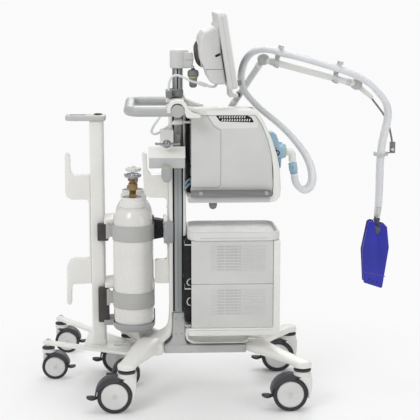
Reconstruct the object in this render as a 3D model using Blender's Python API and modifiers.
"""Intensive-care ventilator on a trolley, with a docked gas-cylinder cart.

Metres, +Z up.  +X is the display side (front), -X the push-handle side (rear),
-Y the near side and +Y the far side.  The design frame has the trolley column
near X = 0, the trolley mid-plane at Y = 0 and the floor at Z = 0.  The last lines
move everything so that the origin is the bottom centre of the whole object.
"""
import bpy
import bmesh
import math
from mathutils import Vector, Matrix

# ---------------------------------------------------------------- shared dimensions
ORIGIN_X = 0.1565            # bottom centre of the whole object in the design frame
ORIGIN_Y = 0.1400
GAP = 0.0005                 # assembly gap between neighbouring pieces
SIDES = (-1, 1)              # near, far

MAIN_FRONT_X = 0.440         # caster stems of the trolley
MAIN_REAR_X = -0.189
MAIN_Y = 0.242

BEAM_REAR_X = -0.055
BEAM_FRONT_X = 0.250
UPSTAND_TOP = 0.310
COLUMN_HALF_WIDTH = 0.038
COLUMN_TOP = 1.0575
POST_X = 0.001
POST_R = 0.019
POST_TOP = 1.2115

UNIT_HALF_WIDTH = 0.145      # ventilation unit and supply units
UNIT_BACK_X = 0.045
WALL = 0.004
HOLLOW_BACK_X = 0.040        # hollows start behind the units, which leaves their backs open
FASCIA_HALF_WIDTH = 0.150
FASCIA_BACK_X = 0.032
FASCIA_FRONT_X = 0.367

SMOOTH_ANGLE = math.radians(35)
TURN_STEPS = 24

# ---------------------------------------------------------------- scene set-up
for old in list(bpy.data.objects):
    bpy.data.objects.remove(old, do_unlink=True)

PARTS = bpy.data.collections.new("intensive_care_ventilator")
CUTTERS = bpy.data.collections.new("cutters")
bpy.context.scene.collection.children.link(PARTS)
bpy.context.scene.collection.children.link(CUTTERS)


def material(name, rgb, roughness, metallic=0.0):
    mat = bpy.data.materials.new(name)
    mat.use_nodes = True
    shader = mat.node_tree.nodes["Principled BSDF"]
    shader.inputs["Base Color"].default_value = (*rgb, 1.0)
    shader.inputs["Roughness"].default_value = roughness
    shader.inputs["Metallic"].default_value = metallic
    mat.diffuse_color = (*rgb, 1.0)
    return mat


WHITE = material("white_powder_coat", rgb=(0.84, 0.84, 0.83), roughness=0.40)
PANEL = material("light_grey_panel", rgb=(0.62, 0.63, 0.64), roughness=0.45)
GREY = material("grey_casting", rgb=(0.42, 0.43, 0.44), roughness=0.45)
ALU = material("anodised_aluminium", rgb=(0.55, 0.56, 0.58), roughness=0.35, metallic=0.9)
KNOB = material("dark_grey_plastic", rgb=(0.16, 0.16, 0.17), roughness=0.5)
TYRE = material("wheel_grey", rgb=(0.55, 0.55, 0.56), roughness=0.6)
CHARCOAL = material("charcoal_plastic", rgb=(0.05, 0.05, 0.06), roughness=0.5)
STEEL = material("stainless_steel", rgb=(0.6, 0.6, 0.6), roughness=0.3, metallic=1.0)
CHROME = material("chrome", rgb=(0.8, 0.8, 0.82), roughness=0.1, metallic=1.0)
BLUE = material("pale_blue_plastic", rgb=(0.30, 0.48, 0.58), roughness=0.35)
HOSE = material("hose_silicone", rgb=(0.75, 0.76, 0.78), roughness=0.35)
LUNG = material("royal_blue_rubber", rgb=(0.02, 0.03, 0.42), roughness=0.5)
GLASS = material("display_glass", rgb=(0.02, 0.02, 0.03), roughness=0.08)
STRAP = material("grey_webbing", rgb=(0.33, 0.33, 0.31), roughness=0.8)
ENAMEL = material("white_enamel", rgb=(0.86, 0.85, 0.83), roughness=0.15)


# ---------------------------------------------------------------- mesh helpers
def smooth(ob):
    ob.data.shade_smooth()
    ob.data.set_sharp_from_angle(angle=SMOOTH_ANGLE)


def add_object(name, data, mat=None):
    ob = bpy.data.objects.new(name, data)
    PARTS.objects.link(ob)
    if mat is not None:
        data.materials.append(mat)
    return ob


def from_bmesh(name, bm, mat):
    bmesh.ops.recalc_face_normals(bm, faces=bm.faces)
    mesh = bpy.data.meshes.new(name)
    bm.to_mesh(mesh)
    bm.free()
    return add_object(name, mesh, mat)


def evaluated_mesh(ob):
    bpy.context.view_layer.update()
    depsgraph = bpy.context.evaluated_depsgraph_get()
    return bpy.data.meshes.new_from_object(ob.evaluated_get(depsgraph))


def bake(ob):
    """Applies an object's modifiers and welds what they leave."""
    mesh = evaluated_mesh(ob)
    bm = bmesh.new()
    bm.from_mesh(mesh)
    bmesh.ops.remove_doubles(bm, verts=bm.verts, dist=0.00002)
    bmesh.ops.dissolve_degenerate(bm, edges=bm.edges, dist=0.00002)
    bm.to_mesh(mesh)
    bm.free()
    ob.modifiers.clear()
    ob.data = mesh


def combine(operation, target, others):
    for other in others:
        mod = target.modifiers.new(operation.lower(), "BOOLEAN")
        mod.operation = operation
        mod.solver = "EXACT"
        mod.object = other
    bake(target)
    smooth(target)
    return target


def union(target, *others):
    """Joins the others to the target and removes them."""
    combine("UNION", target, others)
    for other in others:
        bpy.data.objects.remove(other, do_unlink=True)
    return target


def cut(target, *cutters):
    """Cuts the target and keeps the cutters as hidden helpers."""
    combine("DIFFERENCE", target, cutters)
    for cutter in cutters:
        PARTS.objects.unlink(cutter)
        CUTTERS.objects.link(cutter)
        cutter.hide_render = True
        cutter.display_type = "WIRE"
    return target


def set_origin(ob, at):
    """Puts an object's origin on its joint axis."""
    ob.data.transform(Matrix.Translation(-Vector(at)))
    ob.location = at


# ---------------------------------------------------------------- solids
def box(name, corner, opposite, mat=None, bevel=0.0, segments=1):
    """A box between two opposite corners, given in any order."""
    low, high = zip(*map(sorted, zip(corner, opposite)))
    size = Vector(high) - Vector(low)
    middle = (Vector(high) + Vector(low)) / 2
    bm = bmesh.new()
    bmesh.ops.create_cube(bm, size=1.0,
                          matrix=Matrix.Translation(middle) @ Matrix.Diagonal((*size, 1.0)))
    ob = from_bmesh(name, bm, mat)
    if bevel:
        mod = ob.modifiers.new("edge", "BEVEL")
        mod.width = bevel
        mod.segments = segments
        mod.limit_method = "ANGLE"
        bake(ob)
    return ob


def cyl(name, centre, axis, radius, depth, mat=None, segments=20):
    bm = bmesh.new()
    turn = Vector((0, 0, 1)).rotation_difference(Vector(axis)).to_matrix().to_4x4()
    bmesh.ops.create_cone(bm, cap_ends=True, cap_tris=False, segments=segments, radius1=radius,
                          radius2=radius, depth=depth,
                          matrix=Matrix.Translation(Vector(centre)) @ turn)
    ob = from_bmesh(name, bm, mat)
    smooth(ob)
    return ob


def zcyl(name, x, y, z0, z1, radius, mat=None, segments=20):
    return cyl(name, (x, y, (z0 + z1) / 2), (0, 0, 1), radius, z1 - z0, mat, segments)


def ycyl(name, x, z, y0, y1, radius, mat=None, segments=20):
    return cyl(name, (x, (y0 + y1) / 2, z), (0, 1, 0), radius, abs(y1 - y0), mat, segments)


def hull(name, points, mat=None):
    bm = bmesh.new()
    for point in points:
        bm.verts.new(point)
    result = bmesh.ops.convex_hull(bm, input=bm.verts)
    inside = [item for item in result["geom_interior"] if isinstance(item, bmesh.types.BMVert)]
    bmesh.ops.delete(bm, geom=inside, context="VERTS")
    bmesh.ops.dissolve_limit(bm, angle_limit=0.01, verts=bm.verts, edges=bm.edges)
    ob = from_bmesh(name, bm, mat)
    smooth(ob)
    return ob


def disc_hull(name, discs, mat=None, segments=16):
    """The hull of level circles, each given as (x, y, z, radius)."""
    angles = [2 * math.pi * i / segments for i in range(segments)]
    return hull(name, [(x + radius * math.cos(a), y + radius * math.sin(a), z)
                       for x, y, z, radius in discs for a in angles], mat)


def poly_curve(name, points, dimensions):
    curve = bpy.data.curves.new(name, "CURVE")
    curve.dimensions = dimensions
    spline = curve.splines.new("POLY")
    spline.points.add(len(points) - 1)
    for spline_point, place in zip(spline.points, points):
        spline_point.co = (*place, 1)
    return add_object(name, curve)


def curve_to_mesh(curve_ob, mat):
    name = curve_ob.name
    mesh = evaluated_mesh(curve_ob)
    mesh.transform(curve_ob.matrix_world)
    bm = bmesh.new()
    bm.from_mesh(mesh)
    bmesh.ops.remove_doubles(bm, verts=bm.verts, dist=0.00005)
    bmesh.ops.recalc_face_normals(bm, faces=bm.faces)
    bm.to_mesh(mesh)
    bm.free()
    bpy.data.objects.remove(curve_ob, do_unlink=True)
    return add_object(name, mesh, mat)


def outline(name, points, thickness):
    ob = poly_curve(name, [(a, b, 0) for a, b in points], "2D")
    ob.data.fill_mode = "BOTH"
    ob.data.extrude = thickness / 2
    ob.data.splines[0].use_cyclic_u = True
    return ob


def plate(name, points, y0, y1, mat=None):
    """A flat outline of (x, z) points, extruded along Y."""
    ob = outline(name, points, y1 - y0)
    ob.rotation_euler = (math.pi / 2, 0, 0)
    ob.location = (0, (y0 + y1) / 2, 0)
    return curve_to_mesh(ob, mat)


def plan(name, points, z0, z1, mat=None):
    """A flat outline of (x, y) points, extruded along Z."""
    ob = outline(name, points, z1 - z0)
    ob.location = (0, 0, (z0 + z1) / 2)
    return curve_to_mesh(ob, mat)


def rounded(points, setback, steps):
    """Rounds the corners of an open polyline with quadratic blends."""
    path = [Vector(points[0])]
    for before, corner, after in zip(points, points[1:], points[2:]):
        corner = Vector(corner)
        ends = []
        for neighbour in (before, after):
            leg = Vector(neighbour) - corner
            ends.append(corner + leg.normalized() * min(setback, leg.length * 0.49))
        for i in range(steps + 1):
            t = i / steps
            path.append(ends[0] * (1 - t) ** 2 + corner * 2 * t * (1 - t) + ends[1] * t * t)
    path.append(Vector(points[-1]))
    return path


def tube(name, points, radius, mat=None, resolution=2):
    ob = poly_curve(name, points, "3D")
    ob.data.bevel_depth = radius
    ob.data.bevel_resolution = resolution
    ob.data.use_fill_caps = True
    ob = curve_to_mesh(ob, mat)
    smooth(ob)
    return ob


def turned(name, profile, x, y, mat):
    """A turned shape: profile of (radius, z) from top to bottom down the outer side."""
    mesh = bpy.data.meshes.new(name)
    edges = [(i, i + 1) for i in range(len(profile) - 1)]
    mesh.from_pydata([(radius, 0, z) for radius, z in profile], edges, [])
    ob = add_object(name, mesh)
    mod = ob.modifiers.new("turn", "SCREW")
    mod.axis = "Z"
    mod.angle = 2 * math.pi
    mod.steps = mod.render_steps = TURN_STEPS
    mod.use_merge_vertices = True
    mod.merge_threshold = 0.00005
    bake(ob)
    ob.data.transform(Matrix.Translation((x, y, 0)))
    ob.data.materials.append(mat)
    smooth(ob)
    return ob


# ---------------------------------------------------------------- trolley base
BEAM_BOTTOM = 0.160
LEG_END_BOTTOM = 0.1565
LEG_END_TOP_R = 0.028

union(box("base_beam", (BEAM_REAR_X, -0.060, BEAM_BOTTOM), (BEAM_FRONT_X, 0.060, 0.191), GREY),
      box("upstand", (-0.045, -0.045, 0.186), (0.024, 0.045, UPSTAND_TOP)))


def leg(side, root_x, root_y, root_levels, end_x, end_r, end_top):
    """A tapered leg; root_levels are the (z, radius) of the circles at its root."""
    return disc_hull("leg", [(root_x, side * root_y, z, radius) for z, radius in root_levels]
                     + [(end_x, side * MAIN_Y, LEG_END_BOTTOM, end_r),
                        (end_x, side * MAIN_Y, end_top, LEG_END_TOP_R)])


union(box("front_leg_casting", (BEAM_FRONT_X + GAP, -0.060, 0.158), (0.330, 0.060, 0.1895), WHITE),
      *[leg(side, 0.300, 0.050, ((0.158, 0.045), (0.1893, 0.043)), MAIN_FRONT_X, 0.034, 0.181)
        for side in SIDES])
union(box("rear_leg_casting", (-0.150, -0.100, BEAM_BOTTOM), (BEAM_REAR_X - GAP, 0.100, 0.205),
          WHITE),
      *[leg(side, -0.105, 0.100, ((BEAM_BOTTOM, 0.0455), (0.222, 0.036)), MAIN_REAR_X, 0.036, 0.180)
        for side in SIDES])

# ---------------------------------------------------------------- casters
AXLE_R = 0.0070
AXLE_CLEARANCE = 0.0006
FORK_HUB_R = 0.014
TROLLEY_CASTER = dict(radius=0.0625, trail=0.044, stem_top=0.1562, half_gap=0.009,
                      wheel_width=0.020, has_pedal=True, mat=CHARCOAL)
CART_CASTER = dict(radius=0.050, trail=0.025, stem_top=0.1297, half_gap=0.0075,
                   wheel_width=0.016, has_pedal=False, mat=WHITE)
# name, stem x, stem y, direction of trail along X
CART_STEMS = (("cart_rear_near", -0.500, 0.172, 1),
              ("cart_rear_far", -0.476, 0.533, 1),
              ("cart_front", -0.170, 0.055, -1))


def caster(prefix, x, y, way, radius, trail, stem_top, half_gap, wheel_width, has_pedal, mat):
    """Fork with swivel ring, twin wheels on one axle, and a pedal or a paddle on the fork.

    x, y is the stem; way is the direction of the trail along X.
    """
    wheel_x = x + way * trail
    web = []
    for web_y in (y - 0.6 * half_gap, y + 0.6 * half_gap):
        web += [(x - way * 0.012, web_y, stem_top - 0.010),
                (x + way * 0.014, web_y, stem_top - 0.010),
                (x - way * 0.012, web_y, radius + 0.010)]
        web += [(wheel_x + FORK_HUB_R * math.cos(a), web_y, radius + FORK_HUB_R * math.sin(a))
                for a in [math.pi * k / 6 for k in range(12)]]
    fork = union(zcyl(prefix + "_fork", x, y, stem_top - 0.0115, stem_top - 0.0035,
                      radius * 0.50, mat),
                 zcyl("stem", x, y, stem_top - 0.010, stem_top, 0.010, segments=16),
                 hull("web", web))
    if not has_pedal:
        union(fork, box("paddle", (wheel_x + way * 0.010, y - 0.0035, radius * 0.80),
                        (wheel_x + way * (radius + 0.030), y + 0.0035, radius * 0.80 + 0.010)))
    cut(fork, ycyl(prefix + "_axle_hole", wheel_x, radius, y - 0.02, y + 0.02,
                   AXLE_R + AXLE_CLEARANCE))
    set_origin(fork, (x, y, stem_top))

    outer = half_gap + wheel_width
    axle_half = half_gap + 0.004
    wheels = union(ycyl(prefix + "_wheels", wheel_x, radius, y - outer, y - half_gap,
                        radius, TYRE, 28),
                   ycyl("far_wheel", wheel_x, radius, y + half_gap, y + outer,
                        radius, segments=28),
                   ycyl("axle", wheel_x, radius, y - axle_half, y + axle_half, AXLE_R))
    set_origin(wheels, (wheel_x, y, radius))

    if has_pedal:
        pedal = union(box(prefix + "_pedal", (wheel_x + way * 0.022, y - 0.004, 0.049),
                          (wheel_x + way * (radius + 0.012), y + 0.004, 0.058), CHARCOAL),
                      box("paddle", (wheel_x + way * (radius + 0.006), y - 0.016, 0.045),
                          (wheel_x + way * (radius + 0.042), y + 0.016, 0.060)))
        set_origin(pedal, (wheel_x, y, radius))


for end_name, stem_x in (("front", MAIN_FRONT_X), ("rear", MAIN_REAR_X)):
    for side_name, side in zip(("near", "far"), SIDES):
        caster(f"trolley_{end_name}_{side_name}", stem_x, side * MAIN_Y, -1, **TROLLEY_CASTER)
for stem in CART_STEMS:
    caster(*stem, **CART_CASTER)

# ---------------------------------------------------------------- column
SLOTS_X = ((-0.0195, -0.0125), (0.0145, 0.0185))     # rear and front edge of each side slot
DOCK_Z = (0.571, 0.652)

column = union(
    box("main_column", (-0.033, -COLUMN_HALF_WIDTH, UPSTAND_TOP + GAP),
        (0.030, COLUMN_HALF_WIDTH, COLUMN_TOP), ALU),
    zcyl("post", POST_X, 0, 1.050, POST_TOP, POST_R, segments=24),
    zcyl("collar", -0.010, 0, 1.110, 1.136, 0.030, segments=24),
    box("unit_plate", (0.028, -0.070, 0.800), (0.0445, 0.070, 1.030)),
    box("supply_plate", (0.028, -0.070, 0.320), (0.0445, 0.070, 0.595)),
    box("dock_plate", (-0.052, -0.036, DOCK_Z[0]), (-0.0402, 0.135, DOCK_Z[1])),
    box("dock_lug", (-0.0410, -0.036, DOCK_Z[0]), (-0.0325, -0.002, DOCK_Z[1])),
    box("dock_bumper", (-0.0865, 0.078, 0.576), (-0.050, 0.134, 0.654)))
cut(column, *[box(f"slot_{side}_{k}", (x0, side * 0.033, 0.30), (x1, side * 0.050, 1.03))
              for side in SIDES for k, (x0, x1) in enumerate(SLOTS_X)])

# ---------------------------------------------------------------- push handle
HANDLE_Z = 1.0735
HANDLE_R = 0.0175
HANDLE_Y = 0.211
HANDLE_BACK_X = -0.174
HUB_X = -0.003
GRIP_PATH = [(HUB_X, -HANDLE_Y, HANDLE_Z), (HANDLE_BACK_X, -HANDLE_Y, HANDLE_Z),
             (HANDLE_BACK_X, HANDLE_Y, HANDLE_Z), (HUB_X, HANDLE_Y, HANDLE_Z)]

handle = union(box("push_handle", (-0.032, -0.188, COLUMN_TOP + GAP), (0.026, 0.188, 1.106), WHITE),
               tube("grip", rounded(GRIP_PATH, 0.045, 6), HANDLE_R),
               *[ycyl("hub", HUB_X, 1.080, side * 0.185, side * 0.232, 0.034, segments=24)
                 for side in SIDES])
cut(handle, zcyl("post_hole", POST_X, 0, 1.04, 1.12, POST_R + GAP, segments=24))

# ---------------------------------------------------------------- ventilation unit
# Outlines are (x, z) points.
HOUSING_OUTLINE = [
    (UNIT_BACK_X, 0.765), (0.335, 0.765), (0.338, 0.800), (0.325, 0.910),
    (0.300, 0.980), (0.262, 1.0525), (UNIT_BACK_X, 1.0525)]
HOUSING_HOLLOW_OUTLINE = [
    (HOLLOW_BACK_X, 0.769), (0.331, 0.769), (0.334, 0.800), (0.321, 0.909),
    (0.296, 0.978), (0.259, 1.0485), (HOLLOW_BACK_X, 1.0485)]
FASCIA_BOTTOM = 0.739
UNIT_FASCIA_OUTLINE = [
    (FASCIA_BACK_X, FASCIA_BOTTOM), (0.330, FASCIA_BOTTOM), (0.352, 0.745), (0.364, 0.760),
    (FASCIA_FRONT_X, 0.790), (0.362, 0.877), (0.345, 0.935), (0.319, 0.996), (0.285, 1.053),
    (0.270, 1.069), (0.250, 1.077), (0.040, 1.077), (FASCIA_BACK_X, 1.073),
    (FASCIA_BACK_X, 1.0540), (0.2632, 1.0540), (0.3015, 0.9805), (0.3266, 0.9105),
    (0.3396, 0.800), (0.3362, 0.7635), (FASCIA_BACK_X, 0.7635)]
HOLLOW_HALF_WIDTH = UNIT_HALF_WIDTH - WALL

cut(plate("vent_unit_housing", HOUSING_OUTLINE, -UNIT_HALF_WIDTH, UNIT_HALF_WIDTH, PANEL),
    plate("unit_hollow", HOUSING_HOLLOW_OUTLINE, -HOLLOW_HALF_WIDTH, HOLLOW_HALF_WIDTH))
plate("vent_unit_fascia", UNIT_FASCIA_OUTLINE, -FASCIA_HALF_WIDTH, FASCIA_HALF_WIDTH, WHITE)

# Side rails, each on two spacers that stand off the housing
for side_name, side in zip(("near", "far"), SIDES):
    union(box("side_rail_" + side_name, (0.044, side * 0.164, 0.7635),
              (0.331, side * 0.1545, 0.7885), STEEL),
          *[ycyl("spacer", x, 0.776, side * (UNIT_HALF_WIDTH + GAP), side * 0.156, 0.008,
                 segments=16)
            for x in (0.081, 0.313)])

LOCK_X, LOCK_Y = 0.123, -0.100
set_origin(zcyl("unit_lock_knob", LOCK_X, LOCK_Y, 0.719, FASCIA_BOTTOM - GAP, 0.014, KNOB, 24),
           (LOCK_X, LOCK_Y, 0.729))

# Expiratory valve: shaped body, drum and an elbow that turns down to the hose
VALVE_Y = -0.020
VALVE_HALF_WIDTH = 0.025
HOSE_PORT_X = 0.427
VALVE_OUTLINE = [(0.3315, 0.970), (0.341, 0.984), (0.352, 0.975), (0.362, 0.940),
                 (0.373, 0.905), (0.373, 0.885), (0.3630, 0.885), (0.3530, 0.930)]
ELBOW_PATH = [(0.395, VALVE_Y, 0.907), (HOSE_PORT_X, VALVE_Y, 0.907),
              (HOSE_PORT_X, VALVE_Y, 0.8245)]
union(plate("expiratory_valve", VALVE_OUTLINE, VALVE_Y - VALVE_HALF_WIDTH,
            VALVE_Y + VALVE_HALF_WIDTH, BLUE),
      cyl("drum", (0.3840, VALVE_Y, 0.910), (1, 0, 0), 0.029, 0.034, segments=24),
      tube("elbow", rounded(ELBOW_PATH, 0.022, 6), 0.0150))

# ---------------------------------------------------------------- supply units and tray
SUPPLY_FRONT_X = 0.342
SUPPLY_TOP = 0.6005
SUPPLY_FASCIA_OUTLINE = [
    (FASCIA_BACK_X, 0.249), (0.350, 0.249), (0.362, 0.255), (FASCIA_FRONT_X, 0.268),
    (FASCIA_FRONT_X, SUPPLY_TOP), (0.3425, SUPPLY_TOP), (0.3425, 0.2780),
    (FASCIA_BACK_X, 0.2780)]
TRAY_HALF_WIDTH = 0.152
TRAY_WALL = 0.005

for name, z0, z1 in (("gas_supply_unit", 0.4418, SUPPLY_TOP), ("power_supply_unit", 0.2785, 0.4412)):
    cut(box(name, (UNIT_BACK_X, -UNIT_HALF_WIDTH, z0), (SUPPLY_FRONT_X, UNIT_HALF_WIDTH, z1),
            PANEL),
        box(name + "_hollow", (HOLLOW_BACK_X, -HOLLOW_HALF_WIDTH, z0 + WALL),
            (SUPPLY_FRONT_X - WALL, HOLLOW_HALF_WIDTH, z1 - WALL)))
plate("supply_fascia", SUPPLY_FASCIA_OUTLINE, -FASCIA_HALF_WIDTH, FASCIA_HALF_WIDTH, WHITE)
cut(box("storage_tray", (FASCIA_BACK_X, -TRAY_HALF_WIDTH, SUPPLY_TOP + GAP),
        (FASCIA_FRONT_X, TRAY_HALF_WIDTH, 0.6340), WHITE),
    box("tray_hollow", (FASCIA_BACK_X + TRAY_WALL, -TRAY_HALF_WIDTH + TRAY_WALL, 0.6055),
        (FASCIA_FRONT_X - TRAY_WALL, TRAY_HALF_WIDTH - TRAY_WALL, 0.650)))

# ---------------------------------------------------------------- column attachments
TROLLEY_HOOKS_OUTLINE = [    # (x, z)
    (-0.130, 0.895), (-0.1215, 0.907), (-0.113, 0.895), (-0.110, 0.838), (-0.097, 0.8215),
    (-0.0335, 0.8215), (-0.0335, 0.413), (-0.086, 0.413), (-0.086, 0.501), (-0.0395, 0.501),
    (-0.0395, 0.735), (-0.088, 0.737), (-0.108, 0.747), (-0.122, 0.766)]
plate("trolley_hose_hooks", TROLLEY_HOOKS_OUTLINE, 0.000, 0.040, WHITE)

# Rail clamp block, with its upper near edge cut to a slope, and a jaw on top
BLOCK_NEAR_Y = -0.160
BLOCK_TOP = 0.948
BLOCK_OUTLINE = [(-0.105, 0.867), (0.024, 0.867), (0.024, BLOCK_TOP), (-0.105, BLOCK_TOP)]
BLOCK_SLOPE = ((-0.17, 0.907), (BLOCK_NEAR_Y, 0.907), (-0.130, BLOCK_TOP),     # (y, z)
               (-0.130, 0.96), (-0.17, 0.96))
block = cut(plate("rail_clamp_block", BLOCK_OUTLINE, BLOCK_NEAR_Y, -COLUMN_HALF_WIDTH - GAP, WHITE),
            hull("bevel_cut", [(x, y, z) for x in (-0.12, 0.04) for y, z in BLOCK_SLOPE]))
union(block, box("jaw", (-0.064, -0.125, 0.946), (-0.016, -0.060, 1.001)))

BAR_X, BAR_Y, BAR_Z = -0.041, -0.172, 0.957
bar = union(cyl("clamp_tommy_bar", (BAR_X, BAR_Y, BAR_Z), (0, 1, 0), 0.0145, 0.022, CHROME),
            cyl("bar_rod", (-0.0385, BAR_Y, BAR_Z), (1, 0, 0), 0.004, 0.084, segments=12),
            ycyl("bar_stem", BAR_X, BAR_Z, -0.165, -0.1365, 0.006, segments=16))
set_origin(bar, (BAR_X, BAR_Y, BAR_Z))

# Clamp knob: an ellipsoid with cut-off ends along Y
KNOB_X, KNOB_Y, KNOB_Z = -0.0425, -0.184, 0.853
KNOB_STEM_Z = 0.876
knob_points = [(KNOB_X + 0.0185 * math.cos(a) * math.cos(b), KNOB_Y + 0.017 * math.sin(b),
                KNOB_Z + 0.032 * math.sin(a) * math.cos(b))
               for a in [2 * math.pi * i / 16 for i in range(16)]
               for b in (-1.2, -0.6, 0, 0.6, 1.2)]
clamp_knob = union(hull("clamp_knob", knob_points, KNOB),
                   ycyl("knob_stem", KNOB_X, KNOB_STEM_Z, -0.175, BLOCK_NEAR_Y - GAP, 0.005,
                        segments=12))
set_origin(clamp_knob, (KNOB_X, KNOB_Y, KNOB_STEM_Z))

# ---------------------------------------------------------------- display
FACING = (0.98774, 0.0, 0.15609)
DISPLAY_CENTRE = (0.1705, 0.0, 1.281)
TILT_AXIS = (0.045, 0.0, 1.250)
HEAD_BOTTOM = POST_TOP + GAP
HEAD_KNOB_X = 0.058
HEAD_KNOB_PROFILE = [(0, 1.203), (0.017, 1.203), (0.019, 1.199), (0.019, 1.150),   # (radius, z)
                     (0.014, 1.140), (0, 1.140)]
DISPLAY_HOUSING_OUTLINE = [  # (x, z)
    (0.1345, 1.392), (0.124, 1.366), (0.083, 1.349), (0.074, 1.320), (0.086, 1.262),
    (0.101, 1.217), (0.112, 1.170), (0.170, 1.170)]


def tilt_matrix():
    """The display's own axes: local X is the facing direction."""
    normal = Vector(FACING)
    across = Vector((0, 1, 0))
    return Matrix((normal, across, normal.cross(across))).transposed().to_4x4()


def display_box(name, size, mat=None, offset=(0, 0, 0), bevel=0.0, segments=1):
    """A box in the display's own axes, offset from the display centre."""
    ob = box(name, [-s / 2 for s in size], [s / 2 for s in size], mat, bevel, segments)
    ob.data.transform(Matrix.Translation(Vector(DISPLAY_CENTRE)) @ tilt_matrix()
                      @ Matrix.Translation(Vector(offset)))
    return ob


head = union(box("monitor_swivel_head", (-0.027, -0.035, HEAD_BOTTOM), (0.052, 0.035, 1.273),
                 PANEL, 0.008, 2),
             box("head_lip", (0.030, -0.030, 1.2122), (0.064, 0.030, 1.224)))
set_origin(head, (POST_X, 0, HEAD_BOTTOM))
head_knob = union(turned("head_lock_knob", HEAD_KNOB_PROFILE, HEAD_KNOB_X, 0.0, KNOB),
                  zcyl("knob_stem", HEAD_KNOB_X, 0, 1.200, 1.2115, 0.007, segments=16))
set_origin(head_knob, (HEAD_KNOB_X, 0, 1.17))

display_housing = union(
    plate("display_housing", DISPLAY_HOUSING_OUTLINE, -0.172, 0.172, WHITE),
    cyl("friction_disc", (0.0780, 0, 1.2625), FACING, 0.050, 0.025, segments=28),
    ycyl("tilt_barrel", 0.062, 1.250, -0.020, 0.020, 0.0085, segments=16))
set_origin(display_housing, TILT_AXIS)

bezel = union(display_box("display_bezel", (0.034, 0.420, 0.268), WHITE, bevel=0.006, segments=2),
              box("bezel_foot", (0.178, -0.050, 1.123), (0.195, 0.050, 1.165)))
cut(bezel, display_box("screen_recess", (0.010, 0.374, 0.216), offset=(0.019, 0, 0.004)))
set_origin(bezel, TILT_AXIS)
set_origin(display_box("display_screen", (0.0022, 0.373, 0.215), GLASS, (0.0156, 0, 0.004)),
           TILT_AXIS)
dial_at = Vector(DISPLAY_CENTRE) + tilt_matrix().to_3x3() @ Vector((0.0265, -0.150, -0.1185))
set_origin(cyl("display_rotary_knob", dial_at, FACING, 0.0105, 0.018, KNOB), dial_at)

# ---------------------------------------------------------------- hinged hose arm
ARM_POST = (0.198, 0.1945)   # (x, y)
ARM_POST_TOP = 1.0200
ARM_Y_OUT = ARM_POST[1]      # lower tube and end rod
ARM_Y_IN = 0.1755            # upper tube
ELBOW = (0.329, 1.232)       # (x, z)
WRIST = (0.683, 1.138)
JOINT_R = 0.019
JOINT_OUT = (0.1855, 0.2040)  # Y range of the joint barrels
JOINT_IN = (0.1660, 0.1850)
ARM_TUBE_R = 0.0090
ROD_PATH = [(0.735, ARM_Y_OUT, 1.095), (0.789, ARM_Y_OUT, 1.026), (0.812, ARM_Y_OUT, 0.988),
            (0.827, ARM_Y_OUT, 0.920), (0.824, ARM_Y_OUT, 0.895)]

union(box("arm_clamp", (0.178, 0.1645, 0.752), (0.218, 0.2085, 0.800), GREY, 0.004),
      zcyl("arm_post", *ARM_POST, 0.790, ARM_POST_TOP, 0.009, segments=16))
lower = union(zcyl("arm_lower_tube", *ARM_POST, ARM_POST_TOP + GAP, 1.0500, 0.0125, WHITE),
              tube("tube", [(*ARM_POST, 1.036), (ELBOW[0], ARM_Y_OUT, ELBOW[1])], ARM_TUBE_R),
              ycyl("elbow_joint", *ELBOW, *JOINT_OUT, JOINT_R, segments=24))
set_origin(lower, (*ARM_POST, ARM_POST_TOP + GAP))
upper = union(ycyl("arm_upper_tube", *ELBOW, *JOINT_IN, JOINT_R, WHITE, 24),
              tube("tube", [(ELBOW[0], ARM_Y_IN, ELBOW[1]), (WRIST[0], ARM_Y_IN, WRIST[1])],
                   ARM_TUBE_R),
              ycyl("wrist_joint", *WRIST, *JOINT_IN, JOINT_R, segments=24))
set_origin(upper, (ELBOW[0], ARM_Y_IN, ELBOW[1]))
wrist_at = (WRIST[0], ARM_Y_OUT, WRIST[1])
end = union(ycyl("arm_end_rod", *WRIST, *JOINT_OUT, JOINT_R, CHROME, 24),
            tube("socket", [wrist_at, (0.740, ARM_Y_OUT, 1.090)], 0.0088),
            tube("rod", rounded(ROD_PATH, 0.02, 3), 0.0032, resolution=1),
            box("end_block", (0.815, 0.185, 0.875), (0.838, 0.204, 0.902)),
            box("end_clip", (0.756, 0.1665, 0.870), (0.818, 0.190, 0.882)))
set_origin(end, wrist_at)

# ---------------------------------------------------------------- hoses and test lung
LUNG_X, LUNG_Y = 0.767, 0.150
HOSE_PATHS = {               # (x, y, z) corner points
    "hose_loop": [
        (HOSE_PORT_X, VALVE_Y, 0.8238), (HOSE_PORT_X, VALVE_Y, 0.800), (0.466, -0.020, 0.762),
        (0.510, 0.000, 0.800), (0.480, 0.050, 0.890), (0.400, 0.110, 0.990),
        (0.322, 0.160, 1.046), (0.258, 0.165, 1.105), (0.234, 0.160, 1.160),
        (0.262, 0.155, 1.240), (0.290, 0.153, 1.276), (0.317, 0.153, 1.2795)],
    "hose_drop": [
        (0.3225, 0.153, 1.2795), (0.396, 0.152, 1.267), (0.482, 0.150, 1.247),
        (0.626, 0.150, 1.204), (0.700, 0.150, 1.176), (0.770, 0.150, 1.125),
        (0.810, 0.150, 1.050), (0.800, 0.150, 0.960), (0.774, 0.150, 0.878),
        (0.773, 0.150, 0.700), (LUNG_X, LUNG_Y, 0.650), (LUNG_X, LUNG_Y, 0.6355)]}
LUNG_OUTLINE = [(0.730, 0.614), (0.742, 0.620), (0.795, 0.604), (0.803, 0.596),     # (x, z)
                (0.812, 0.516), (0.789, 0.355), (0.717, 0.379), (0.709, 0.504)]

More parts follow.
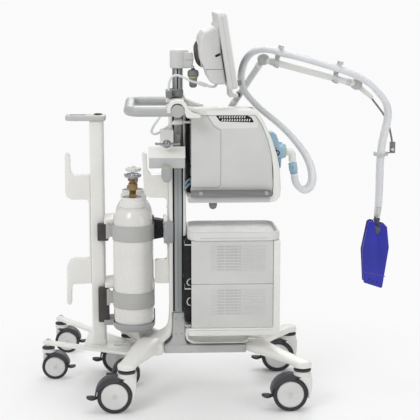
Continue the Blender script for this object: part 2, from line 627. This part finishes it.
for name, path in HOSE_PATHS.items():
    tube(name, rounded(path, 0.03, 3), 0.012, HOSE)
lung = union(plate("test_lung", LUNG_OUTLINE, LUNG_Y - 0.028, LUNG_Y + 0.028, LUNG),
             zcyl("connector", LUNG_X, LUNG_Y, 0.585, 0.6345, 0.011))
set_origin(lung, (LUNG_X, LUNG_Y, 0.6350))

# ---------------------------------------------------------------- cylinder cart
CYL_R = 0.0745
CYL_X = -0.165
CYL_NEAR_Y = 0.020
CYL_FAR_Y = 0.195
CART_BASE_TOP = 0.1550
CART_COLUMN_TOP = 1.0105
CART_BASE_OUTLINE = [(-0.360, 0.100), (-0.180, 0.005), (-0.160, 0.110), (-0.345, 0.355)]
# Round-ended base bars: end (x, y), other end (x, y), radius, top z
CART_BARS = (((-0.503, 0.172), (-0.182, 0.012), 0.016, CART_BASE_TOP),
             ((-0.478, 0.535), (-0.166, 0.112), 0.016, CART_BASE_TOP),
             ((-0.178, 0.012), (-0.168, 0.105), 0.020, 0.1548))
CART_HOOKS_OUTLINE = [       # (x, z)
    (-0.419, 0.879), (-0.4095, 0.894), (-0.400, 0.879), (-0.398, 0.818), (-0.386, 0.805),
    (-0.3265, 0.805), (-0.3265, 0.391), (-0.397, 0.388), (-0.401, 0.369), (-0.402, 0.314),
    (-0.412, 0.304), (-0.421, 0.314), (-0.418, 0.459), (-0.407, 0.478), (-0.388, 0.485),
    (-0.3325, 0.485), (-0.3325, 0.713), (-0.380, 0.713), (-0.405, 0.730), (-0.419, 0.758)]
CART_HANDLE_OUTLINE = [      # (x, y)
    (-0.400, 0.085), (-0.270, 0.085), (-0.264, 0.092), (-0.264, 0.158), (-0.270, 0.165),
    (-0.400, 0.165), (-0.414, 0.152), (-0.414, 0.098)]


def pair_hull(name, levels, segments, mat=None):
    """A hull round both gas cylinders; levels are (z, radius)."""
    return disc_hull(name, [(CYL_X, y, z, radius) for y in (CYL_NEAR_Y, CYL_FAR_Y)
                            for z, radius in levels], mat, segments)


union(plan("cart_base", CART_BASE_OUTLINE, 0.135, 0.1545, WHITE),
      *[disc_hull("bar", [(*at, z, radius) for at in (start, stop) for z in (0.130, top)])
        for start, stop, radius, top in CART_BARS])

# Column with two brackets and the cup that holds the cylinder feet
cart_column = union(
    box("cart_column", (-0.326, 0.095, CART_BASE_TOP + GAP), (-0.272, 0.155, CART_COLUMN_TOP),
        WHITE, 0.008),
    box("bracket_top", (-0.274, 0.040, 0.566), (-0.2435, 0.175, 0.618)),
    box("bracket_low", (-0.274, 0.040, 0.314), (-0.2435, 0.175, 0.368)),
    box("cup_arm", (-0.280, 0.060, 0.238), (-0.235, 0.160, 0.258)),
    pair_hull("cup", ((0.234, 0.070), (0.248, 0.0795), (0.262, 0.0795)), 24))
cut(cart_column, pair_hull("cup_hollow", [(z, CYL_R + 0.0015) for z in (0.240, 0.270)], 24))
plate("cart_hose_hooks", CART_HOOKS_OUTLINE, 0.105, 0.145, WHITE)

BUTTON_AT = (-0.293, 0.125)
BUTTON_BOTTOM = 1.0300
cut(plan("cart_handle", CART_HANDLE_OUTLINE, CART_COLUMN_TOP + GAP, 1.0310, GREY),
    box("handle_loop", (-0.396, 0.105, 1.00), (-0.338, 0.145, 1.04)),
    zcyl("button_well", *BUTTON_AT, 1.0260, 1.04, 0.0168, segments=24))
set_origin(zcyl("cart_release_button", *BUTTON_AT, BUTTON_BOTTOM, 1.0365, 0.0160, KNOB, 24),
           (*BUTTON_AT, BUTTON_BOTTOM))

# ---------------------------------------------------------------- gas cylinders
VALVE_BASE = 0.750
NEAR_VALVE_TOP = 0.8045
CYLINDER_PROFILE = [         # (radius, z)
    (0, 0.752), (0.015, 0.752), (0.015, 0.737), (0.044, 0.737), (0.044, 0.722),
    (0.0475, 0.717), (0.0475, 0.702), (0.058, 0.690), (0.068, 0.668), (0.0732, 0.640),
    (CYL_R, 0.615), (CYL_R, 0.275), (0.070, 0.252), (0.055, 0.2408), (0, 0.2408)]

union(turned("cylinder_near", CYLINDER_PROFILE, CYL_X, CYL_NEAR_Y, ENAMEL),
      zcyl("valve_body", CYL_X, CYL_NEAR_Y, VALVE_BASE, NEAR_VALVE_TOP, 0.014, segments=16),
      cyl("outlet", (CYL_X + 0.016, CYL_NEAR_Y, 0.778), (1, 0, 0), 0.008, 0.026, segments=14))
union(turned("cylinder_far", CYLINDER_PROFILE, CYL_X, CYL_FAR_Y, ENAMEL),
      zcyl("valve_body", CYL_X, CYL_FAR_Y, VALVE_BASE, 0.8100, 0.014, segments=16),
      zcyl("wheel", CYL_X, CYL_FAR_Y, 0.808, 0.826, 0.031))
handwheel = union(zcyl("handwheel_near", CYL_X, CYL_NEAR_Y, 0.8085, 0.8270, 0.032, CHROME, 24),
                  zcyl("hub", CYL_X, CYL_NEAR_Y, NEAR_VALVE_TOP + GAP, 0.8300, 0.010, segments=16))
set_origin(handwheel, (CYL_X, CYL_NEAR_Y, 0.8085))

for name, z0, z1 in (("strap_upper", 0.563, 0.621), ("strap_lower", 0.311, 0.371)):
    cut(pair_hull(name, [(z, CYL_R + 0.0030) for z in (z0, z1)], 32, STRAP),
        pair_hull(name + "_inner", [(z, CYL_R + 0.0018) for z in (z0 - 0.01, z1 + 0.01)], 32))

# ---------------------------------------------------------------- origin
for ob in list(PARTS.objects) + list(CUTTERS.objects):
    ob.location.x -= ORIGIN_X
    ob.location.y -= ORIGIN_Y
bpy.context.view_layer.update()
